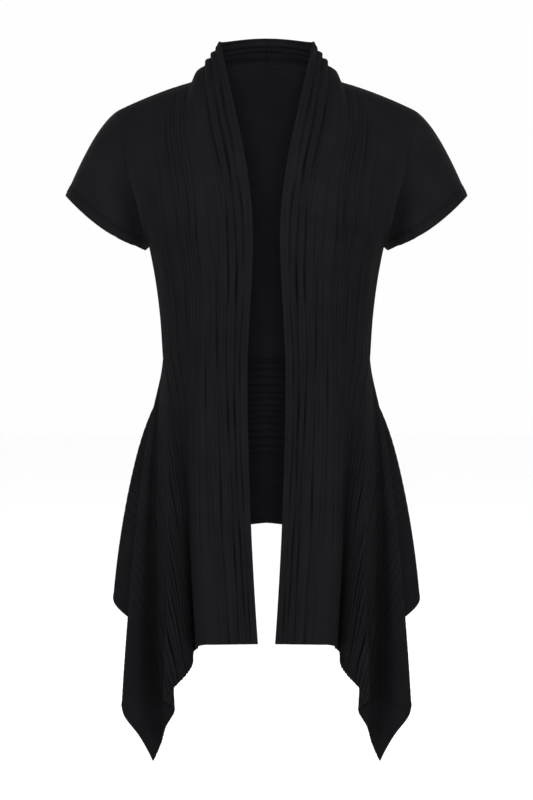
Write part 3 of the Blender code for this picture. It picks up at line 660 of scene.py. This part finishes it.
seam_distance = np.hypot(across - STRAIGHT_WIDTH, along) * np.sin(SIDE_FLARE - turn)
skirt_furrow = furrows(across, skirt_along) * np.clip(seam_distance / 8.0, 0, 1)
skirt_furrow = skirt_furrow * (1 - 0.6 * np.clip((around - 0.79) / 0.06, 0, 1))
stretched = ramp(across, 80, 110) * np.clip(1 - skirt_drop / 140.0, 0, 1)
skirt_furrow = skirt_furrow * (1 - 0.55 * stretched)
seam_sink = SEAM_SINK * np.exp(-(seam_distance / SEAM_WIDTH) ** 2)
side_distance = (waist_across[-1] - waist_across)[None, :]
sunk = SEAM_SINK * np.exp(-(side_distance / SEAM_WIDTH) ** 2)
at_armhole = ramp(bodice_along, 105, 165) * ramp(bodice_along, FRONT_UNDERARM, FRONT_UNDERARM - 25)
armhole_fold = ARMHOLE_FOLD * np.exp(-((side_distance - ARMHOLE_FOLD_PLACE) / ARMHOLE_FOLD_WIDTH) ** 2) * at_armhole
bodice_raised = creases(bodice_across, bodice_along, CREASES) * np.clip(side_distance / 12, 0, 1) + armhole_fold
skirt_raised = creases(across, skirt_along, CREASES) * np.clip(seam_distance / 12, 0, 1)
collar = collar - collar_normals * collar_furrow[:, :, None]
bodice = bodice[:-1] + bodice_normals * (bodice_raised - bodice_furrow - sunk)[:, :, None]
front_skirt = front_skirt + skirt_normals * (skirt_raised - skirt_furrow - seam_sink)[:, :, None]

collar_size = collar_rows * collar_count
bodice_size = bodice_rows * upper_count
collar_numbers = np.arange(collar_size).reshape(collar_rows, collar_count)
bodice_numbers = collar_size + np.arange(bodice_size).reshape(bodice_rows, upper_count)
skirt_numbers = collar_size + bodice_size + np.arange(across.size).reshape(across.shape)
blocks = (np.concatenate((collar_numbers, bodice_numbers[:1, :collar_count])),
          np.concatenate((bodice_numbers, skirt_numbers[:1, :upper_count])), skirt_numbers)


def joined(*grids):
    """The grids' values one after another, a row for each point."""
    return np.concatenate([grid.reshape(-1, 3) if grid.ndim == 3 else grid.ravel() for grid in grids])


points = joined(collar, bodice, front_skirt)
normals = joined(collar_normals, bodice_normals, skirt_normals)
furrow = joined(collar_furrow, bodice_furrow, skirt_furrow)
edge = np.minimum(joined(collar_across, bodice_across, np.minimum(across, hem_line - along)), 50.0)
thickness = KNIT_THICKNESS * (1 - FURROW_THINNING * np.clip(furrow, 0, 1))
thickness = rolled(thickness, edge)
# Painted shade, 0 to 1: the rib furrows by their depth, and on the outside also the deep folds of the skirt, darken
# the colour.
inner_shade = np.clip(joined(collar_lines * 0.8, bodice_furrow, skirt_furrow) / FULL_SHADE_DEPTH, 0, 1)
painted_fold_shade = joined(0 * collar_furrow, 0 * bodice_furrow, hollow_shade(around, skirt_drop))
shade = np.clip(furrow / FULL_SHADE_DEPTH + painted_fold_shade, 0, 1)
flat = np.stack((joined(collar_across, bodice_across, across),
                 joined(collar_along, bodice_along, skirt_along)), axis=1) * MM

for side, hand in (("left", 1), ("right", -1)):
    piece = cloth_shell("front_and_collar_" + side, points, normals, thickness, shade, inner_shade, blocks, flat,
                        hand)
    piece.data.materials.append(rib_knit)
    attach(piece, "root")
    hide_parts("front_" + side, "collar_" + side)


# ---- The back from the neck and shoulder seams to the waist seam: one piece of plain jersey.
BACK_SECTIONS = {
    "down":   (0, 30, 62, 105, 150, 195, 225, 245, 290, 345, 402),
    "mid_y":  (68, 80, 91, 99, 102, 99, 95, 91, 85, 80, 84),
    "mid_z":  (24, -3, -33, -75, -120, -165, -194, -214, -255, -305, -362),
    "arm_x":  (195, 194.5, 191, 185, 175, 165, 158, 153.5, 145.5, 139, 135),
    "arm_y":  (4, 24, 42, 56, 60, 49, 30, 0, 0, 0, 0),
    "arm_z":  (-38, -46.5, -63.5, -97, -133, -165, -195, -214, -255, -305, -362),
    "turn":   (30, 40, 52, 63, 72, 80, 86, 90, 90, 90, 90),
    "neck":   (1, 0.45, 0.12, 0, 0, 0, 0, 0, 0, 0, 0),
}
BACK_UNDERARM = 245.0
BACK_WAIST = 402.0
NECK_AROUND = 0.565
JERSEY_THICKNESS = 1.2
BACK_ROWS = 110
SHOULDER_COLUMNS = 34
NECK_COLUMNS = 40


def back_half(around, down):
    """Half of the back from its side seam (around = 1) to the centre back (around = 2): oval arcs, which
    change near the top into the neckline's scoop and the straight shoulder."""
    s = {name: through(BACK_SECTIONS["down"], BACK_SECTIONS[name], down)[:, None]
         for name in BACK_SECTIONS if name != "down"}
    r = 2 - np.asarray(around, float)[None, :]
    turn = np.radians(s["turn"])
    bend = r * turn
    inside = r < NECK_AROUND
    angle = np.pi / 2 * np.minimum(r / NECK_AROUND, 1)
    beyond = (r - NECK_AROUND) / (1 - NECK_AROUND)
    neck_x = NECK_POINT[0] / SHOULDER_POINT[0]
    seam_y = NECK_POINT[1] - SHOULDER_POINT[1]
    seam_z = NECK_POINT[2] - SHOULDER_POINT[2]
    shoulder_x = np.where(inside, neck_x * np.sin(angle), neck_x + (1 - neck_x) * beyond)
    near_y = s["arm_y"] + seam_y
    near_z = s["arm_z"] + seam_z
    scoop_y = near_y + (s["mid_y"] - near_y) * np.cos(angle)
    scoop_z = near_z + (s["mid_z"] - near_z) * np.cos(angle) ** 2
    shoulder_y = np.where(inside, scoop_y, s["arm_y"] + seam_y * (1 - beyond))
    shoulder_z = np.where(inside, scoop_z, s["arm_z"] + seam_z * (1 - beyond))
    shoulder_z = shoulder_z + SHOULDER_ROUND * (1 - (2 * np.clip(beyond, 0, 1) - 1) ** 2)
    round_x = np.sin(bend) / np.sin(turn)
    round_y = s["arm_y"] + (s["mid_y"] - s["arm_y"]) * (np.cos(bend) - np.cos(turn)) / (1 - np.cos(turn))
    round_z = s["mid_z"] + (s["arm_z"] - s["mid_z"]) * round_x
    x = s["arm_x"] * (s["neck"] * shoulder_x + (1 - s["neck"]) * round_x)
    y = s["neck"] * shoulder_y + (1 - s["neck"]) * round_y
    z = s["neck"] * shoulder_z + (1 - s["neck"]) * round_z
    return np.stack((x, y, z), axis=2)


def whole(grid):
    """A half grid that ends at the centre back, carried on over the wearer's right."""
    return np.concatenate((grid, grid[:, -2::-1] * MIRROR), axis=1)


jersey = knit_material("black_jersey", (0.0027, 0.0027, 0.0032), sheen=0.01, rib_bump=0.0)

around = np.concatenate((np.linspace(1, 2 - NECK_AROUND, SHOULDER_COLUMNS)[:-1],
                         np.linspace(2 - NECK_AROUND, 2, NECK_COLUMNS)))
down_back = np.linspace(0, BACK_WAIST, BACK_ROWS)
back = back_half(around, down_back)
back_normals = normals_of(back)
waist_rows = np.concatenate((back_half(around, (BACK_WAIST - 2.0, BACK_WAIST)), skirt_at(around, 2.0)[None]))
near_seam = np.exp(-(BACK_WAIST - down_back) / WAIST_EASE)[:, None] * np.ones(len(around))
back_normals = eased(back_normals, normals_of(waist_rows)[1][None], near_seam)
back_normals[:, -1] = in_middle_plane(back_normals[:, -1])
whole_back = whole(back)
whole_normals = whole(back_normals)
numbers = np.arange(whole_back.size // 3).reshape(whole_back.shape[:2])
back_x = np.cumsum(np.linalg.norm(np.diff(whole_back, axis=1, prepend=whole_back[:, :1]), axis=2), axis=1)
back_x = back_x - back_x[:, len(around) - 1:len(around)]
flat = np.stack((back_x.ravel(), np.tile(down_back[:, None], (1, numbers.shape[1])).ravel()), axis=1) * MM
plain = np.zeros(numbers.size)
piece = cloth_shell("back_cloth", whole_back.reshape(-1, 3), whole_normals.reshape(-1, 3),
                    np.full(numbers.size, JERSEY_THICKNESS), plain, plain, (numbers,), flat, 1)
piece.data.materials.append(jersey)
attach(piece, "root")
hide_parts("back_upper")


# ---- The back skirt, one piece from side seam to side seam. It is the same rib knit turned so that its ribs
# run level across the centre back, which makes its straight hem hang in points at the sides.
BACK_RIB_PITCH = (9.6, 9.0, 11.0, 9.4, 8.0, 9.2, 7.0, 8.6, 7.6)
BACK_RIB_FINE_PITCH = (4.6, 5.6, 4.2)
BACK_RIB_DEPTH = 1.6
BACK_RIB_FINE_DEPTH = 1.1
BACK_RIB_OUTER = 0.36
BACK_RIB_INNER = 0.65
BACK_RIB_WIDTH = 1.5
BACK_RIB_FINE_WIDTH = 0.9
BACK_SKIRT_COLUMNS = 100
COARSE_RIBS_END = 125.0                  # below the waist at the centre back

top_rib = BACK_FLARE_RADIUS * np.sin(SIDE_FLARE)
hem_rib = BACK_SKIRT_LENGTH + BACK_FLARE_RADIUS
coarse = BACK_FLARE_RADIUS + 4.0 + np.concatenate(([0.0], np.cumsum(BACK_RIB_PITCH * 2)))
coarse = coarse[coarse < BACK_FLARE_RADIUS + COARSE_RIBS_END]
fine = coarse[-1] + np.cumsum(np.tile(BACK_RIB_FINE_PITCH, 12))
fine = fine[fine < hem_rib - 5.0]
above = coarse[0] - np.cumsum(np.tile(BACK_RIB_PITCH, 2))
above = above[above > top_rib]
rib_places = np.concatenate((above[::-1], coarse, fine))
is_fine = rib_places > coarse[-1]
rib_depths = np.where(is_fine, BACK_RIB_FINE_DEPTH, BACK_RIB_DEPTH)
rib_widths = np.where(is_fine, BACK_RIB_FINE_WIDTH, BACK_RIB_WIDTH)
close_rows = (-1.9, -0.9, 0.0, 0.9, 1.9)
ribs_down = np.concatenate((near_lines(rib_places[rib_places < BACK_FLARE_RADIUS - 2.0], [], top_rib + 0.8,
                                       BACK_FLARE_RADIUS, close_rows, 3.0)[:-1],
                            near_lines(rib_places[rib_places > BACK_FLARE_RADIUS + 2.0], [], BACK_FLARE_RADIUS,
                                       hem_rib - 5.0, close_rows, 3.0),
                            hem_rib - np.array((3.6, 2.6, 1.6, 0.9, 0.4, 0.0))))
first_whole = int(np.searchsorted(ribs_down, BACK_FLARE_RADIUS - 1e-6))
side_end = ribs_down / np.tan(SIDE_FLARE)
middle_end = np.sqrt(np.clip(BACK_FLARE_RADIUS ** 2 - ribs_down ** 2, 0, None))
share = np.linspace(0, 1, BACK_SKIRT_COLUMNS)[None, :]
flat_x = side_end[:, None] + (middle_end - side_end)[:, None] * share
flat_y = np.tile(ribs_down[:, None], (1, share.size))
turn = np.clip(np.arctan2(flat_y, flat_x), SIDE_FLARE, np.pi / 2)
around = 1 + (turn - SIDE_FLARE) / (np.pi / 2 - SIDE_FLARE)
hung, cut = hem_drop(around)
skirt_drop = np.clip(np.hypot(flat_x, flat_y) - BACK_FLARE_RADIUS, 0, None) * hung / cut
skirt = skirt_at(around, skirt_drop)
back_around = np.linspace(1, 2, 60)
waist_rows = np.concatenate((back_half(back_around, (BACK_WAIST - 2.0, BACK_WAIST)),
                             skirt_at(back_around, 2.0)[None]))
waist_normals = normals_of(waist_rows)[1]
near_waist = np.stack([np.interp(around, back_around, waist_normals[:, axis]) for axis in range(3)], axis=2)
skirt_normals = eased(skirt_normals_at(around, skirt_drop), near_waist, np.exp(-skirt_drop / WAIST_EASE))
skirt_normals[first_whole:, -1] *= np.array((0.0, 1.0, 1.0))
skirt_normals /= np.linalg.norm(skirt_normals, axis=2, keepdims=True)
furrow = np.zeros(flat_x.shape)
for place, deep, width in zip(rib_places, rib_depths, rib_widths):
    furrow = np.maximum(furrow, deep * np.exp(-((flat_y - place) / width) ** 2))
side_distance = (flat_x[:, :1] - flat_x) * np.sin(SIDE_FLARE)
furrow = furrow * np.clip(side_distance / 4.0, 0, 1)
seam_sink = SEAM_SINK * np.exp(-(side_distance / SEAM_WIDTH) ** 2)
furrow = furrow / BACK_RIB_DEPTH
outer_face = KNIT_THICKNESS / 2 - BACK_RIB_OUTER * furrow
inner_face = KNIT_THICKNESS / 2 + 0.2 - BACK_RIB_INNER * furrow
skirt = skirt + skirt_normals * ((outer_face - inner_face) / 2 - seam_sink)[:, :, None]

# Painted shade: the rib furrows are darkened less where the cloth hangs on the bias at the sides, the deep folds are
# added outside, and inside only the furrows.
outer_shade = furrow * (0.28 + 0.3 * np.clip((around - 1.35) / 0.3, 0, 1)) + hollow_shade(around, skirt_drop)
numbers = np.arange(flat_x.size).reshape(flat_x.shape)
mirror_numbers = numbers + flat_x.size
mirror_numbers[first_whole:, -1] = numbers[first_whole:, -1]
hem_distance = joined(hem_rib - flat_y, hem_rib - flat_y)
thickness = joined(outer_face + inner_face, outer_face + inner_face)
outer_shade = np.clip(joined(outer_shade, outer_shade), 0, 1)
inner_shade = joined(furrow, furrow) * 0.4
thickness = rolled(thickness, hem_distance)
flat = np.stack((joined(flat_y, flat_y), joined(flat_x, -flat_x)), axis=1) * MM
piece = cloth_shell("back_skirt_cloth", joined(skirt, skirt * MIRROR), joined(skirt_normals, skirt_normals * MIRROR),
                    thickness, outer_shade, inner_shade, (numbers, mirror_numbers[:, ::-1]), flat, 1)
piece.data.materials.append(rib_knit)
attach(piece, "root")
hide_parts("back_skirt")


# ---- The cap sleeves: plain jersey, set in at the armhole with a seam under the arm. The hem is turned up
# 16 mm and held with a twin row of stitches, which makes it ripple a little.
CUFF_CENTRE = (211.0, 0.0, -185.0)
CUFF_TO_TOP = (51.0, 0.0, 35.0)
CUFF_HALF_DEPTH = 52.0
CUFF_FRONT_BOW = 11.0
CUFF_BACK_BOW = 3.0
SLEEVE_HEAD_LIFT = (-4.0, 0.0, 36.5)
SLEEVE_SIDE_SWELL = 8.0
SLEEVE_HEM = 16.0
HEM_FULLNESS = 0.5
STITCH_GROOVE = 0.55
HEM_RIPPLE = 0.55
SLEEVE_CREASES = (
    # along the cuff from the top, from the armhole, turn, half length, half width, height
    (60, 55, 62, 32, 8, -1.5),
    (85, 70, 50, 30, 7, 1.3),
    (120, 50, 30, 28, 7, -1.2),
    (215, 48, -30, 28, 8, 1.3),
    (250, 62, -48, 30, 8, -1.4),
    (226, 16, 0, 26, 26, -4.5),
)
# along the cuff from the top, from the armhole, half length, half width, shade: the dark under the arm
ARMPIT_HOLLOW = (232, 12, 34, 24, 0.55)
TWIN_STITCHES = (1.0, 4.5)               # the two rows, up from the inner edge of the turned hem
ARMHOLE_POINTS = 60


def sleeve_tube(armhole, lines):
    """Sleeve from the armhole ring to the cuff's tilted oval: each line is a parabola between the two, lifted
    over the shoulder. The ring runs over the back, underarm and front, and up again."""
    around_ring = np.concatenate((armhole, armhole[:1]), axis=0)
    travelled = np.concatenate(([0], np.cumsum(np.linalg.norm(np.diff(around_ring, axis=0), axis=1))))
    lowest = int(np.argmin(armhole[:, 2]))
    to_lowest = travelled[:lowest + 1] / travelled[lowest]
    to_top = (travelled[lowest:-1] - travelled[lowest]) / (travelled[-1] - travelled[lowest])
    angle = np.pi * np.concatenate((to_lowest, 1 + to_top[1:]))
    toward_front = -np.sin(angle)
    bow = np.where(toward_front > 0, CUFF_FRONT_BOW, CUFF_BACK_BOW) * toward_front ** 2
    cuff = np.array(CUFF_CENTRE) + np.cos(angle)[:, None] * np.array(CUFF_TO_TOP)
    cuff[:, 1] -= CUFF_HALF_DEPTH * toward_front
    cuff[:, 2] -= bow
    head = np.maximum(np.cos(angle), 0) ** 2
    middle = (armhole + cuff) / 2 + head[:, None] * np.array(SLEEVE_HEAD_LIFT)
    middle[:, 1] -= SLEEVE_SIDE_SWELL * toward_front
    t = lines[:, None, None]
    return (1 - t) ** 2 * armhole + 2 * t * (1 - t) * middle + t ** 2 * cuff


arm_front = bodice_front(waist_across, np.linspace(0, FRONT_UNDERARM, ARMHOLE_POINTS))[:, -1]
arm_back = back_half((1.0, 1.1), np.linspace(0, BACK_UNDERARM, ARMHOLE_POINTS))[:, 0]
armhole = np.concatenate((arm_back, arm_front[-2:0:-1]))
sleeve_lines = np.concatenate((np.linspace(0.003, 0.8, 34)[:-1], np.linspace(0.8, 0.99, 26), (0.994, 0.997, 1.0)))
sleeve = sleeve_tube(armhole, sleeve_lines)
wrapped = np.concatenate((sleeve[:, -1:], sleeve, sleeve[:, :1]), axis=1)
sleeve_normals = normals_of(wrapped)[:, 1:-1]
numbers = np.arange(sleeve.size // 3).reshape(sleeve.shape[:2])
ring = np.concatenate((numbers, numbers[:, :1]), axis=1)
sleeve_x = np.cumsum(np.linalg.norm(np.diff(sleeve[-1], axis=0, prepend=sleeve[-1, :1]), axis=1))
length = np.linalg.norm(np.diff(sleeve, axis=0, prepend=sleeve[:1]), axis=2)
sleeve_y = np.cumsum(length, axis=0)
around_cuff = np.tile(sleeve_x, (len(sleeve_lines), 1))
from_hem = sleeve_y[-1] - sleeve_y
in_hem = 1 / (1 + np.exp((from_hem - SLEEVE_HEM) / 0.8))
groove = sum(np.exp(-((from_hem - place) / 0.9) ** 2) for place in np.subtract(SLEEVE_HEM, TWIN_STITCHES))
ripple = np.sin(around_cuff / 1.9 + 1.3 * np.sin(around_cuff / 13)) * (0.6 + 0.4 * np.sin(around_cuff / 17))
raised = HEM_FULLNESS * in_hem - STITCH_GROOVE * groove + HEM_RIPPLE * ripple * np.exp(-((from_hem - 7) / 8) ** 2)
raised = raised + creases(around_cuff, sleeve_y, SLEEVE_CREASES) * np.clip(sleeve_y / 15, 0, 1)
sleeve = sleeve + sleeve_normals * raised[:, :, None]
sleeve_thickness = JERSEY_THICKNESS * (1 + 0.7 * in_hem) * np.clip(0.5 + from_hem / 1.2, 0, 1)
flat = np.stack((around_cuff.ravel(), sleeve_y.ravel()), axis=1) * MM
plain = np.zeros(numbers.size)
# Painted shade: the twin stitch grooves of the hem and the hollow under the arm are darkened in the colour.
place, distance, half_length, half_width, deep = ARMPIT_HOLLOW
armpit_shade = np.exp(-((around_cuff - place) / half_length) ** 2 - ((sleeve_y - distance) / half_width) ** 2)
sleeve_shade = np.clip(groove * 0.4 + deep * armpit_shade, 0, 1).ravel()
for side, hand in (("left", 1), ("right", -1)):
    piece = cloth_shell("cap_sleeve_" + side, sleeve.reshape(-1, 3), sleeve_normals.reshape(-1, 3),
                        sleeve_thickness.ravel(), sleeve_shade, plain, (ring,), flat, hand)
    piece.data.materials.append(jersey)
    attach(piece, "root")
    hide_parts("sleeve_" + side)
